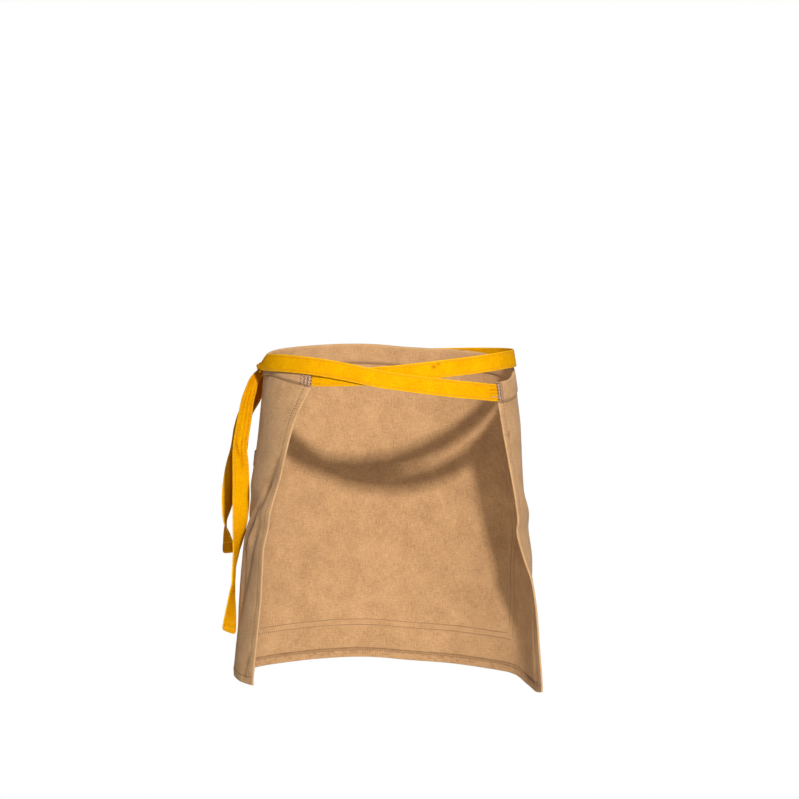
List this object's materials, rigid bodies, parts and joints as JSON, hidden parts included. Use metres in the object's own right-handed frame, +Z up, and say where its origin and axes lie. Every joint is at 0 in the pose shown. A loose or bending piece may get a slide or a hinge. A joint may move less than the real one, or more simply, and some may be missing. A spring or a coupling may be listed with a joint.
{
  "type": "waiter apron",
  "caption": "Short canvas waist apron as worn: rectangular panel with turned hems, wide patch pocket, folded waistband and cloth ties crossed behind and knotted at the left hip.",
  "frame": {"origin": "centre of the waist loop at the height of the waistband's middle, where the wearer's waist passes through", "axes": "+Z up along the wearer's body, +Y to the wearer's front, +X to the wearer's right"},
  "size_m": [0.3636, 0.2331, 0.3943],
  "materials": {
    "canvas": "matte cotton twill, tan",
    "tie_cloth": "matte cotton twill, golden yellow"
  },
  "bodies": {
    "root": {"panel": "canvas", "pocket": "canvas", "waistband": "canvas", "tie_left": "tie_cloth", "tie_right": "tie_cloth"}
  },
  "joints": []
}
